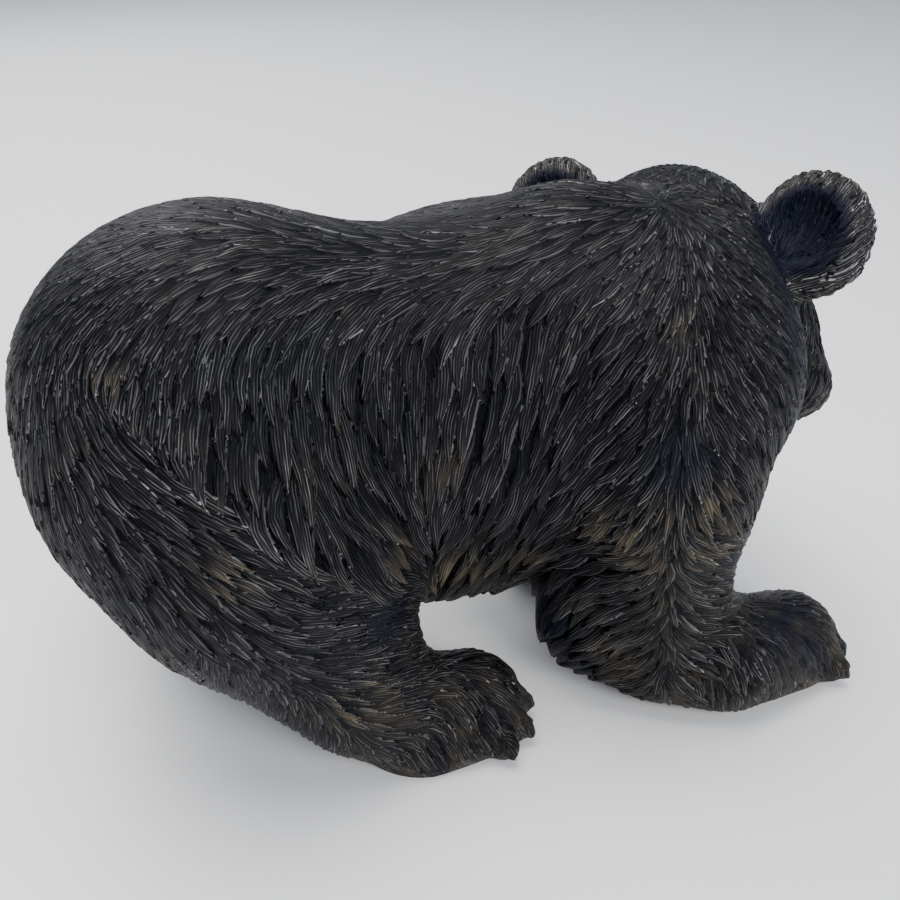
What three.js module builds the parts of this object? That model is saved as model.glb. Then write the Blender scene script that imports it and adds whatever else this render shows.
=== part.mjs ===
// A walking bear carved from one block of wood, its head turned to its left.
// Sizes are in millimetres. The bear walks along +X, its left side is +Y, +Z is up,
// and its soles stand on the plane z = 0.

import * as THREE from 'three';

// Overall height over the crown and the hump. The whole figure follows it.
const HEIGHT = 209;
// One per cent of the height: the unit of every place and radius in the tables below.
const UNIT = HEIGHT / 100;

// Turn of the head: to the left, downwards, and tilted over to the left, in degrees.
const HEAD_TURN = 43;
const HEAD_NOD = 29;
const HEAD_TILT = 6;

// Hollow of an ear: its width as a share of the ear's, and its depth in per cent of the height.
const EAR_HOLLOW = 0.7;
const EAR_HOLLOW_DEPTH = 3.2;

// Locks of fur: width, length and how proud the tip stands, in per cent of the height.
const LOCK_WIDTH = 7.2;
const LOCK_LENGTH = 19;
const LOCK_DEPTH = 1.7;
// A lock covers this share of its neighbours' width and length.
const LOCK_OVERLAP_ACROSS = 0.34;
const LOCK_OVERLAP_ALONG = 0.5;
// Below this height above the ground the wood is left plain, so that the soles stay flat.
const SOLE_EDGE = 0.9;

// Width of one cell of the lattice that the form is read on, in per cent of the height.
const CELL = 1.55;
// Number of facets the finished solid keeps.
const FACETS = 9600;

// How far each crease between two forms is rounded over, in per cent of the height.
const SOFT = {
  torso: 14,
  farShoulder: 11,
  neck: 12,
  head: 9.5,
  cheek: 12,
  face: 8,
  jaw: 2.4,
  nose: 1.2,
  brow: 5,
  socket: 2,
  eye: 0.6,
  ear: 3,
  earHollow: 1.2,
  leg: 9.5,
  knee: 7,
  ankle: 8,
  toe: 1.4,
  fringe: 6.5,
};

const WOOD = { color: 0x2a2826, roughness: 0.6, metalness: 0 };

// Frames and vectors

function add(a, b, k = 1) {
  return [a[0] + b[0] * k, a[1] + b[1] * k, a[2] + b[2] * k];
}

function dot(a, b) {
  return a[0] * b[0] + a[1] * b[1] + a[2] * b[2];
}

function cross(a, b) {
  return [a[1] * b[2] - a[2] * b[1], a[2] * b[0] - a[0] * b[2], a[0] * b[1] - a[1] * b[0]];
}

function unit(a) {
  const size = Math.hypot(a[0], a[1], a[2]) || 1;
  return [a[0] / size, a[1] / size, a[2] / size];
}

// The head's own axes: forward, left and up.
function headAxes() {
  const turn = THREE.MathUtils.degToRad(HEAD_TURN);
  const nod = THREE.MathUtils.degToRad(HEAD_NOD);
  const tilt = THREE.MathUtils.degToRad(HEAD_TILT);
  const forward = [Math.cos(turn) * Math.cos(nod), Math.sin(turn) * Math.cos(nod), -Math.sin(nod)];
  const level = [-Math.sin(turn), Math.cos(turn), 0];
  const upright = cross(forward, level);
  const left = add(level.map((v) => v * Math.cos(tilt)), upright, -Math.sin(tilt));
  return [forward, left, cross(forward, left)];
}

const HEAD = headAxes();

// The form, in per cent of the height. A blob is an ellipsoid and a limb is a tapering
// rod with round ends. Each is given by its middle or its ends, and its radii.

const HEAD_CENTRE = [50.2, 16.1, 68.6];

const RUMP = blob([-42.4, 0, 66], [35.4, 31.4, 34]);
const BARREL = blob([-1.9, 0, 54.4], [42.7, 25, 39.3]);
const CHEST = blob([26.1, 1, 58.4], [31, 28.8, 30.9]);
const HUMP = blob([23, 0, 79.5], [17.2, 16.4, 17.6]);
const FAR_SHOULDER = blob([5.4, 17.9, 70.7], [23.5, 15.2, 19.3]);
const NECK = limb([40.3, -0.6, 70.4], 23.5, [51.3, 12.2, 69.9], 20.5);
const REAR_FRINGE = blob([24.7, -21.1, 22.2], [10.9, 11, 17]);

const SKULL = headBlob([0, 0, 0], [23.3, 21.6, 26.7]);
const CHEEKS = pair((side) => headBlob([8.4, 18 * side, -13.1], [14.6, 17.4, 10.4]));
const BROWS = pair((side) => headBlob([18.6, 8.1 * side, 6.7], [5.7, 5.3, 3.6]));
const MUZZLE = headLimb([11.5, 0, -6.7], 16.3, [37.3, 0, -10.5], 9.6);
const JAW = headLimb([10.5, 0, -18.2], 11, [33.5, 0, -19.1], 5.7);
const NOSE = headBlob([45, 0, -6.7], [3.3, 5.3, 3.8]);
const SOCKETS = pair((side) => headBlob([26.3, 9.8 * side, 1.9], [4.5, 4.5, 3.9]));
const EYES = pair((side) => headBlob([21.8, 9.3 * side, 1.9], [2.6, 2.6, 2.5]));
const EARS = pair((side) => ear(side));

const LEGS = [
  leg('near fore', [
    [38.3, -14.4, 67, 23.9], [34, -25.8, 49.8, 15.3], [37.3, -24.4, 12.9, 13.2],
    [50.1, -30.5, 10.5, 11.4], [66.8, -25.5, 6.3, 10.6],
  ]),
  leg('far fore', [
    [38.3, 16.3, 61.2, 20.1], [31.6, 23.9, 35.9, 16.3], [28.7, 23.9, 13.4, 13.4],
    [28.7, 23.9, 10.5, 12.4], [49.8, 23.9, 7.7, 9.1],
  ]),
  leg('near hind', [
    [-49, -14.9, 57.1, 24.7], [-39.7, -20.2, 46.7, 23.7], [-23.3, -27.5, 16.3, 13.6],
    [-11.7, -27.8, 3.8, 11.6], [-2.6, -28, 6.2, 10.8],
  ]),
  leg('far hind', [
    [-46.9, 14.4, 57.4, 25.8], [-45.9, 22, 36.4, 21.1], [-45.9, 23.9, 14.4, 14.4],
    [-45.9, 23.9, 11.5, 12.9], [-25.8, 23.9, 8.1, 9.6],
  ]),
];

function blob(centre, radii) {
  return {
    centre: centre.map((v) => v * UNIT),
    radii: radii.map((v) => v * UNIT),
    axes: null,
  };
}

function limb(from, fromRadius, to, toRadius) {
  return {
    from: from.map((v) => v * UNIT),
    to: to.map((v) => v * UNIT),
    fromRadius: fromRadius * UNIT,
    toRadius: toRadius * UNIT,
  };
}

// A place given forward, left and up of the middle of the head.
function headPlace(place) {
  let at = HEAD_CENTRE;
  for (let i = 0; i < 3; i++) at = add(at, HEAD[i], place[i]);
  return at;
}

function headBlob(place, radii) {
  return { ...blob(headPlace(place), radii), axes: HEAD };
}

function headLimb(from, fromRadius, to, toRadius) {
  return limb(headPlace(from), fromRadius, headPlace(to), toRadius);
}

function pair(make) {
  return [make(-1), make(1)];
}

// A round ear standing on the upper corner of the head, hollowed on both faces.
function ear(side) {
  const radii = [5.6, 11.4, 12.5];
  const place = [-1.5, 27.9 * side, 14.9];
  const reach = [EAR_HOLLOW_DEPTH * 1.5, radii[1] * EAR_HOLLOW, radii[2] * EAR_HOLLOW];
  const stand = radii[0] + EAR_HOLLOW_DEPTH * 0.5;
  const middle = [place[1] - side * 0.8, place[2] + 0.4];
  const hollow = (face) => headBlob([place[0] + face * stand, ...middle], reach);
  return { body: headBlob(place, radii), hollows: [hollow(-1), hollow(1)] };
}

// A leg as a chain of limbs: shoulder or hip, knee, ankle, then heel and toes.
function leg(name, joints) {
  const chain = [];
  for (const [a, b] of [[0, 1], [1, 2], [3, 4]]) {
    chain.push(limb(joints[a].slice(0, 3), joints[a][3], joints[b].slice(0, 3), joints[b][3]));
  }
  return { name, chain, side: Math.sign(joints[0][1]), toes: toes(joints[3], joints[4]) };
}

// Five toes in an arc round the front of the foot.
function toes(heel, front) {
  const count = 5;
  const spread = 2.1;
  const along = unit([front[0] - heel[0], front[1] - heel[1], 0]);
  const across = [-along[1], along[0], 0];
  const list = [];
  for (let i = 0; i < count; i++) {
    const angle = (i / (count - 1) - 0.5) * spread;
    let at = add(front.slice(0, 3), along, Math.cos(angle) * front[3] * 0.76);
    at = add(at, across, Math.sin(angle) * front[3] * 0.86);
    list.push(blob([at[0], at[1], front[3] * 0.42], [front[3] * 0.4, front[3] * 0.27, front[3] * 0.42]));
    list[i].axes = [[Math.cos(angle), Math.sin(angle)], [-Math.sin(angle), Math.cos(angle)]]
      .map(([c, s]) => [along[0] * c + across[0] * s, along[1] * c + across[1] * s, 0])
      .concat([[0, 0, 1]]);
  }
  return list;
}

// Signed distances: negative inside the wood

function blobDistance(p, b) {
  let x = p[0] - b.centre[0];
  let y = p[1] - b.centre[1];
  let z = p[2] - b.centre[2];
  if (b.axes) {
    const [f, l, u] = b.axes;
    const a = x * f[0] + y * f[1] + z * f[2];
    const c = x * l[0] + y * l[1] + z * l[2];
    z = x * u[0] + y * u[1] + z * u[2];
    x = a;
    y = c;
  }
  const [rx, ry, rz] = b.radii;
  const k0 = Math.hypot(x / rx, y / ry, z / rz);
  if (k0 < 1e-3) return -Math.min(rx, ry, rz);
  const k1 = Math.hypot(x / (rx * rx), y / (ry * ry), z / (rz * rz)) + 1e-9;
  return (k0 * (k0 - 1)) / k1;
}

// Two balls and the cone that touches both of them without a crease.
function limbDistance(p, c) {
  const ax = p[0] - c.from[0];
  const ay = p[1] - c.from[1];
  const az = p[2] - c.from[2];
  const bx = c.to[0] - c.from[0];
  const by = c.to[1] - c.from[1];
  const bz = c.to[2] - c.from[2];
  const length = Math.hypot(bx, by, bz);
  const along = (ax * bx + ay * by + az * bz) / length;
  const away = Math.sqrt(Math.max(ax * ax + ay * ay + az * az - along * along, 0));
  const sine = (c.fromRadius - c.toRadius) / length;
  const cosine = Math.sqrt(1 - sine * sine);
  const foot = along * cosine - away * sine;
  if (foot < 0) return Math.hypot(away, along) - c.fromRadius;
  if (foot > length * cosine) return Math.hypot(away, along - length) - c.toRadius;
  return away * cosine + along * sine - c.fromRadius;
}

// The smaller of two distances, with the crease between them rounded over "soft".
function join(a, b, soft) {
  const h = Math.max(soft - Math.abs(a - b), 0) / soft;
  return Math.min(a, b) - h * h * soft * 0.25;
}

function carve(a, b, soft) {
  return -join(-a, b, soft);
}

function torsoDistance(p) {
  let d = blobDistance(p, RUMP);
  d = join(d, blobDistance(p, BARREL), SOFT.torso * UNIT);
  d = join(d, blobDistance(p, CHEST), SOFT.torso * UNIT);
  d = join(d, blobDistance(p, HUMP), SOFT.torso * UNIT);
  d = join(d, blobDistance(p, FAR_SHOULDER), SOFT.farShoulder * UNIT);
  return d;
}

function headDistance(p) {
  let d = blobDistance(p, SKULL);
  for (const cheek of CHEEKS) d = join(d, blobDistance(p, cheek), SOFT.cheek * UNIT);
  let face = limbDistance(p, MUZZLE);
  face = join(face, limbDistance(p, JAW), SOFT.jaw * UNIT);
  face = join(face, blobDistance(p, NOSE), SOFT.nose * UNIT);
  d = join(d, face, SOFT.face * UNIT);
  for (const brow of BROWS) d = join(d, blobDistance(p, brow), SOFT.brow * UNIT);
  for (const socket of SOCKETS) d = carve(d, blobDistance(p, socket), SOFT.socket * UNIT);
  for (const eye of EYES) d = join(d, blobDistance(p, eye), SOFT.eye * UNIT);
  return d;
}

function earDistance(p, e) {
  let d = blobDistance(p, e.body);
  for (const hollow of e.hollows) d = carve(d, blobDistance(p, hollow), SOFT.earHollow * UNIT);
  return d;
}

function legDistance(p, l) {
  let d = limbDistance(p, l.chain[0]);
  d = join(d, limbDistance(p, l.chain[1]), SOFT.knee * UNIT);
  d = join(d, limbDistance(p, l.chain[2]), SOFT.ankle * UNIT);
  for (const toe of l.toes) d = join(d, blobDistance(p, toe), SOFT.toe * UNIT);
  return d;
}

function bearDistance(p) {
  let d = torsoDistance(p);
  d = join(d, limbDistance(p, NECK), SOFT.neck * UNIT);
  d = join(d, headDistance(p), SOFT.head * UNIT);
  for (const e of EARS) d = join(d, earDistance(p, e), SOFT.ear * UNIT);
  for (const l of LEGS) d = join(d, legDistance(p, l), SOFT.leg * UNIT);
  d = join(d, blobDistance(p, REAR_FRINGE), SOFT.fringe * UNIT);
  return Math.max(d, -p[2]);
}

function slope(p, step = 0.5) {
  const g = [0, 0, 0];
  for (let i = 0; i < 3; i++) {
    const ahead = p.slice();
    const behind = p.slice();
    ahead[i] += step;
    behind[i] -= step;
    g[i] = bearDistance(ahead) - bearDistance(behind);
  }
  return unit(g);
}

// Skin: the zero level of the distance, as one closed mesh. Every lattice cell that the
// skin crosses gets one point, and every lattice edge that it crosses one pair of triangles.

const CORNERS = [...Array(8).keys()].map((c) => [c & 1, (c >> 1) & 1, (c >> 2) & 1]);
const EDGES = [1, 2, 4].flatMap((step) => (
  [...Array(8).keys()].filter((c) => !(c & step)).map((c) => [c, c + step])
));

// Whether the marked corners of a cell hang together along the cell's edges.
function oneGroup(marked) {
  const first = marked.indexOf(true);
  if (first < 0) return true;
  const reached = CORNERS.map((_, i) => i === first);
  for (let pass = 0; pass < 4; pass++) {
    for (const [a, b] of EDGES) {
      if (marked[a] && marked[b] && (reached[a] || reached[b])) {
        reached[a] = true;
        reached[b] = true;
      }
    }
  }
  return marked.every((m, i) => !m || reached[i]);
}

// Distances at the lattice nodes. Blocks of nodes far from the skin are filled in one go.
function readField(low, cell, n, at) {
  const field = new Float64Array(n[0] * n[1] * n[2]);
  const block = 4;
  const reach = cell * block * 1.4;
  const half = (block - 1) / 2;
  const place = (i, j, k) => [low[0] + i * cell, low[1] + j * cell, low[2] + k * cell];
  const fill = (i0, j0, k0, value) => {
    for (let i = i0; i < Math.min(i0 + block, n[0]); i++) {
      for (let j = j0; j < Math.min(j0 + block, n[1]); j++) {
        for (let k = k0; k < Math.min(k0 + block, n[2]); k++) {
          field[at(i, j, k)] = value === null ? bearDistance(place(i, j, k)) : value;
        }
      }
    }
  };
  for (let i = 0; i < n[0]; i += block) {
    for (let j = 0; j < n[1]; j += block) {
      for (let k = 0; k < n[2]; k += block) {
        const middle = bearDistance(place(i + half, j + half, k + half));
        fill(i, j, k, Math.abs(middle) > reach ? middle : null);
      }
    }
  }
  return field;
}

// Fills the cells whose wood or whose air falls into two groups, so that the skin never
// touches itself along an edge or at a point.
function settle(field, cell, n, at) {
  const offsets = CORNERS.map(([a, b, c]) => at(a, b, c));
  for (let changed = true; changed;) {
    changed = false;
    for (let i = 0; i < n[0] - 1; i++) {
      for (let j = 0; j < n[1] - 1; j++) {
        for (let k = 0; k < n[2] - 1; k++) {
          const first = at(i, j, k);
          let count = 0;
          for (let c = 0; c < 8; c++) if (field[first + offsets[c]] < 0) count += 1;
          if (count < 2 || count > 6) continue;
          const nodes = offsets.map((offset) => first + offset);
          const wood = nodes.map((node) => field[node] < 0);
          if (oneGroup(wood) && oneGroup(wood.map((w) => !w))) continue;
          const air = nodes.filter((node) => field[node] >= 0);
          field[air.reduce((best, node) => (field[node] < field[best] ? node : best))] = -0.1 * cell;
          changed = true;
        }
      }
    }
  }
}

function skin() {
  const cell = CELL * UNIT;
  const low = [-82 * UNIT, -52 * UNIT, -2.5 * cell];
  const high = [92 * UNIT, 66 * UNIT, 106 * UNIT];
  const n = low.map((v, i) => Math.ceil((high[i] - v) / cell) + 1);
  const at = (i, j, k) => (i * n[1] + j) * n[2] + k;
  const node = (i, j, k) => [low[0] + i * cell, low[1] + j * cell, low[2] + k * cell];
  const field = readField(low, cell, n, at);
  settle(field, cell, n, at);
  const offsets = CORNERS.map(([a, b, c]) => at(a, b, c));
  const points = [];
  const pointOf = new Int32Array(field.length).fill(-1);
  for (let i = 0; i < n[0] - 1; i++) {
    for (let j = 0; j < n[1] - 1; j++) {
      for (let k = 0; k < n[2] - 1; k++) {
        const value = offsets.map((offset) => field[at(i, j, k) + offset]);
        let sum = [0, 0, 0];
        let crossings = 0;
        for (const [a, b] of EDGES) {
          if (value[a] < 0 === value[b] < 0) continue;
          const t = value[a] / (value[a] - value[b]);
          sum = add(add(sum, CORNERS[a], 1 - t), CORNERS[b], t);
          crossings += 1;
        }
        if (!crossings) continue;
        pointOf[at(i, j, k)] = points.length;
        points.push(node(i + sum[0] / crossings, j + sum[1] / crossings, k + sum[2] / crossings));
      }
    }
  }
  const faces = [];
  const quad = (a, b, c, d, flip) => {
    const loop = [a, b, c, d].map(([i, j, k]) => pointOf[at(i, j, k)]);
    if (flip) loop.reverse();
    faces.push([loop[0], loop[1], loop[2]], [loop[0], loop[2], loop[3]]);
  };
  for (let i = 1; i < n[0] - 1; i++) {
    for (let j = 1; j < n[1] - 1; j++) {
      for (let k = 1; k < n[2] - 1; k++) {
        const here = field[at(i, j, k)] < 0;
        if (here !== field[at(i + 1, j, k)] < 0) {
          quad([i, j - 1, k - 1], [i, j, k - 1], [i, j, k], [i, j - 1, k], !here);
        }
        if (here !== field[at(i, j + 1, k)] < 0) {
          quad([i - 1, j, k - 1], [i, j, k - 1], [i, j, k], [i - 1, j, k], here);
        }
        if (here !== field[at(i, j, k + 1)] < 0) {
          quad([i - 1, j - 1, k], [i, j - 1, k], [i, j, k], [i - 1, j, k], !here);
        }
      }
    }
  }
  return { points, faces };
}

// Flow of the fur

// Where the fur parts: the whorl on the withers.
const WHORL = [33.5, -2, 95].map((v) => v * UNIT);
// Height of the body's axis, about which the flank fur hangs.
const BODY_AXIS = 70 * UNIT;

// Direction along a limb that also spreads away from the ridge on the limb's outer side.
function limbFlow(p, c, ridge, spread) {
  const along = unit(add(c.to, c.from, -1));
  const t = Math.min(Math.max(dot(add(p, c.from, -1), along), 0), dot(add(c.to, c.from, -1), along));
  const axis = add(c.from, along, t);
  const out = unit(add(p, axis, -1));
  const across = unit(add(ridge, along, -dot(ridge, along)));
  const round = cross(along, out);
  const turn = dot(cross(across, out), along);
  return add(along, round, spread * Math.max(-1, Math.min(1, turn * 3)));
}

function furFlow(p) {
  const groups = [];
  // back and flanks: backwards along the spine, hanging down the sides
  const around = Math.atan2(Math.abs(p[1]), p[2] - BODY_AXIS);
  const hang = THREE.MathUtils.clamp(around / 1.1, 0, 1);
  const slant = THREE.MathUtils.lerp(0.45, 1.35, hang);
  const down = [0, Math.sign(p[1] || -1) * Math.cos(around), -Math.sin(around)];
  groups.push([torsoDistance(p), add([-Math.cos(slant), 0, 0], down, Math.sin(slant))]);
  // neck: out of the whorl on the withers
  groups.push([limbDistance(p, NECK), unit(add(p, WHORL, -1))]);
  // head: from the nose back over the skull and down the cheeks
  const fromNose = unit(add(p, NOSE.centre, -1));
  groups.push([headDistance(p), add(fromNose, HEAD[2], -0.35)]);
  for (const e of EARS) {
    const foot = add(e.body.centre, HEAD[2], -e.body.radii[2]);
    groups.push([earDistance(p, e), unit(add(p, foot, -1))]);
  }
  for (const l of LEGS) {
    const hind = l.name.endsWith('hind');
    const ridge = [hind ? -0.5 : 0, 0.86 * l.side, 0];
    let nearest = l.chain[0];
    for (const c of l.chain) if (limbDistance(p, c) < limbDistance(p, nearest)) nearest = c;
    groups.push([legDistance(p, l) - UNIT, limbFlow(p, nearest, ridge, 0.7)]);
  }
  const closest = Math.min(...groups.map(([d]) => d));
  let flow = [0, 0, 0];
  for (const [d, direction] of groups) {
    flow = add(flow, unit(direction), Math.exp(-(d - closest) / (3.4 * UNIT)));
  }
  return flow;
}

// A steady stream of numbers between 0 and 1, the same on every run.
function dice(seed) {
  let state = seed;
  return () => {
    state = (state * 1664525 + 1013904223) % 4294967296;
    return state / 4294967296;
  };
}

// Share of the head's face that is left free of locks, round the nose and the eyes.
function barePatch(p) {
  const bare = Math.min(blobDistance(p, NOSE), ...EYES.map((e) => blobDistance(p, e)));
  return THREE.MathUtils.smoothstep(bare, 1.5 * UNIT, 6 * UNIT);
}

// Locks laid over the skin like shingles. Each one starts flush, widens, and ends in a
// pointed tip that stands proud of the next.
function locks(points, normals, flows) {
  const width = LOCK_WIDTH * UNIT;
  const length = LOCK_LENGTH * UNIT;
  const random = dice(7);
  const bucketSize = length;
  const buckets = new Map();
  const key = (p) => p.map((v) => Math.floor(v / bucketSize)).join(' ');
  const around = (p) => {
    const found = [];
    const base = p.map((v) => Math.floor(v / bucketSize));
    for (let i = -1; i <= 1; i++) {
      for (let j = -1; j <= 1; j++) {
        for (let k = -1; k <= 1; k++) {
          const list = buckets.get([base[0] + i, base[1] + j, base[2] + k].join(' '));
          if (list) found.push(...list);
        }
      }
    }
    return found;
  };
  const order = points.map((_, i) => [random(), i]).sort((a, b) => a[0] - b[0]);
  const acrossGap = width * (1 - LOCK_OVERLAP_ACROSS);
  const alongGap = length * (1 - LOCK_OVERLAP_ALONG);
  for (const [, i] of order) {
    const p = points[i];
    if (p[2] < 2 * SOLE_EDGE * UNIT) continue;
    let free = true;
    for (const s of around(p)) {
      const gap = add(p, s.at, -1);
      const along = dot(gap, s.flow) / alongGap;
      const across = dot(gap, s.side) / acrossGap;
      const off = dot(gap, s.normal) / acrossGap;
      if (along * along + across * across + off * off < 1) {
        free = false;
        break;
      }
    }
    if (!free) continue;
    const seed = {
      at: p,
      normal: normals[i],
      flow: flows[i],
      side: cross(normals[i], flows[i]),
      grow: 0.85 + 0.3 * random(),
    };
    const slot = key(p);
    if (!buckets.has(slot)) buckets.set(slot, []);
    buckets.get(slot).push(seed);
  }
  return points.map((p, i) => {
    let height = 0;
    for (const s of around(p)) {
      if (dot(s.normal, normals[i]) < 0.4) continue;
      const gap = add(p, s.at, -1);
      const along = dot(gap, s.flow) / (length * s.grow) + 0.5;
      if (along < 0 || along > 1) continue;
      const taper = Math.sqrt(Math.min(1, 3 * along)) * Math.min(1, (1 - along) * 2.6);
      const half = 0.5 * width * s.grow * taper;
      const across = Math.abs(dot(gap, s.side)) / (half + 1e-6);
      if (across > 1) continue;
      height = Math.max(height, (0.3 + 0.7 * along) * (1 - across * across));
    }
    const free = THREE.MathUtils.smoothstep(p[2], SOLE_EDGE * UNIT, 4 * SOLE_EDGE * UNIT) * barePatch(p);
    return (height - 0.55) * LOCK_DEPTH * UNIT * free;
  });
}

// Thinning: the shortest and flattest edges are closed up first, each end's planes
// remembered, until the wanted number of facets is left.

class Heap {
  constructor() {
    this.items = [];
  }

  push(item) {
    const a = this.items;
    a.push(item);
    let i = a.length - 1;
    while (i > 0) {
      const parent = (i - 1) >> 1;
      if (a[parent].cost <= a[i].cost) break;
      [a[parent], a[i]] = [a[i], a[parent]];
      i = parent;
    }
  }

  pop() {
    const a = this.items;
    const top = a[0];
    const last = a.pop();
    if (a.length) {
      a[0] = last;
      let i = 0;
      for (;;) {
        let next = 2 * i + 1;
        if (next >= a.length) break;
        if (next + 1 < a.length && a[next + 1].cost < a[next].cost) next += 1;
        if (a[i].cost <= a[next].cost) break;
        [a[next], a[i]] = [a[i], a[next]];
        i = next;
      }
    }
    return top;
  }
}

// Squared distance to a plane, kept as the ten sums of a symmetric four by four table.
function planeError(n, offset, weight, sums) {
  const q = [n[0], n[1], n[2], offset];
  let at = 0;
  for (let i = 0; i < 4; i++) {
    for (let j = i; j < 4; j++) {
      sums[at] += q[i] * q[j] * weight;
      at += 1;
    }
  }
}

function errorAt(s, p) {
  const [x, y, z] = p;
  return s[0] * x * x + 2 * s[1] * x * y + 2 * s[2] * x * z + 2 * s[3] * x
    + s[4] * y * y + 2 * s[5] * y * z + 2 * s[6] * y + s[7] * z * z + 2 * s[8] * z + s[9];
}

// The place with the least error, or null where the planes don't fix one.
function bestPlace(s) {
  const [a, b, c, d, e, f, g, h, i] = s;
  const det = a * (e * h - f * f) - b * (b * h - f * c) + c * (b * f - e * c);
  if (Math.abs(det) < 1e-4 * (a + e + h) ** 3) return null;
  const x = -(d * (e * h - f * f) - b * (g * h - f * i) + c * (g * f - e * i)) / det;
  const y = -(a * (g * h - f * i) - d * (b * h - f * c) + c * (b * i - g * c)) / det;
  const z = -(a * (e * i - g * f) - b * (b * i - g * c) + d * (b * f - e * c)) / det;
  return [x, y, z];
}

// A facet narrower than this share of its length is a sliver and isn't made.
const SLIVER = 0.12;

function thin(points, faces, wanted) {
  const facesOf = points.map(() => new Set());
  faces.forEach((f, i) => f.forEach((v) => facesOf[v].add(i)));
  const sums = points.map(() => new Float64Array(10));
  for (const [a, b, c] of faces) {
    const wide = cross(add(points[b], points[a], -1), add(points[c], points[a], -1));
    const area = Math.hypot(...wide) / 2;
    const n = unit(wide);
    for (const v of [a, b, c]) planeError(n, -dot(n, points[a]), area, sums[v]);
  }
  const version = new Int32Array(points.length);
  const heap = new Heap();
  const offer = (a, b) => {
    const s = sums[a].map((v, i) => v + sums[b][i]);
    const middle = points[a].map((v, i) => (v + points[b][i]) / 2);
    const reach = Math.hypot(...add(points[a], points[b], -1));
    let place = bestPlace(s);
    if (!place || Math.hypot(...add(place, middle, -1)) > reach) {
      const worth = (p) => errorAt(s, p);
      place = [points[a], points[b], middle].reduce((best, p) => (worth(p) < worth(best) ? p : best));
    }
    // a sole stays on the ground
    const lowest = Math.min(points[a][2], points[b][2]);
    if (lowest < 1e-6) place = [place[0], place[1], lowest];
    const cost = Math.max(errorAt(s, place), 0) + 1e-3 * reach * reach;
    heap.push({ cost, a, b, place, stamp: version[a] + version[b] });
  };
  const ring = (v) => {
    const near = new Set();
    for (const i of facesOf[v]) faces[i].forEach((w) => near.add(w));
    near.delete(v);
    return near;
  };
  points.forEach((_, v) => ring(v).forEach((w) => v < w && offer(v, w)));
  const turnsOver = (v, other, place) => {
    for (const i of facesOf[v]) {
      const f = faces[i];
      if (f.includes(other)) continue;
      const [p, q] = f.filter((w) => w !== v).map((w) => points[w]);
      const first = f.indexOf(v) === 1 ? -1 : 1;
      const before = cross(add(p, points[v], -1), add(q, points[v], -1)).map((x) => x * first);
      const after = cross(add(p, place, -1), add(q, place, -1)).map((x) => x * first);
      if (dot(unit(before), unit(after)) < 0.5) return true;
      const sides = [add(p, place, -1), add(q, place, -1), add(p, q, -1)];
      const longest = Math.max(...sides.map((e) => Math.hypot(...e)));
      if (Math.hypot(...after) < SLIVER * longest * longest) return true;
    }
    return false;
  };
  let left = faces.length;
  const gone = new Uint8Array(points.length);
  while (left > wanted && heap.items.length) {
    const { a, b, place, stamp } = heap.pop();
    if (gone[a] || gone[b] || stamp !== version[a] + version[b]) continue;
    const shared = [...facesOf[a]].filter((i) => facesOf[b].has(i));
    const ringB = ring(b);
    const common = [...ring(a)].filter((v) => ringB.has(v));
    if (shared.length !== 2 || common.length !== 2) continue;
    if (turnsOver(a, b, place) || turnsOver(b, a, place)) continue;
    for (const i of shared) {
      faces[i].forEach((v) => facesOf[v].delete(i));
      faces[i] = null;
      left -= 1;
    }
    for (const i of facesOf[b]) {
      faces[i] = faces[i].map((v) => (v === b ? a : v));
      facesOf[a].add(i);
    }
    facesOf[b].clear();
    gone[b] = 1;
    points[a] = place;
    sums[a] = sums[a].map((v, i) => v + sums[b][i]);
    version[a] += 1;
    ring(a).forEach((v) => offer(a, v));
  }
  return faces.filter(Boolean);
}

// Build: skin, fur, thinning, and the box's foot put at the origin

function build() {
  const { points, faces } = skin();
  const normals = points.map((p) => slope(p));
  const flows = points.map((p, i) => {
    const flow = furFlow(p);
    return unit(add(flow, normals[i], -dot(flow, normals[i])));
  });
  const heights = locks(points, normals, flows);
  const carved = points.map((p, i) => {
    const moved = add(p, normals[i], heights[i]);
    return [moved[0], moved[1], Math.abs(p[2]) < 1e-6 ? 0 : Math.max(moved[2], 0)];
  });
  const kept = thin(carved, faces, FACETS);
  const used = [...new Set(kept.flat())];
  const renumber = new Map(used.map((v, i) => [v, i]));
  const geometry = new THREE.BufferGeometry();
  const places = new Float32Array(used.flatMap((v) => carved[v]));
  geometry.setAttribute('position', new THREE.BufferAttribute(places, 3));
  geometry.setIndex(kept.flat().map((v) => renumber.get(v)));
  geometry.computeBoundingBox();
  const box = geometry.boundingBox;
  geometry.translate(-(box.min.x + box.max.x) / 2, -(box.min.y + box.max.y) / 2, -box.min.z);
  geometry.computeVertexNormals();
  const bear = new THREE.Mesh(geometry, new THREE.MeshStandardMaterial(WOOD));
  bear.name = 'bear';
  const figure = new THREE.Group();
  figure.name = 'carved_bear';
  figure.add(bear);
  return figure;
}

export default build();
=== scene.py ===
"""A walking bear carved from one block of wood and stained nearly black.

The bear walks along +X, its left side is +Y and +Z is up. Its form is worked out in
millimetres about the carver's own origin, and is then moved into the frame in metres.
"""

import math

import bpy
import numpy as np
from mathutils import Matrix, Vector, kdtree


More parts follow.
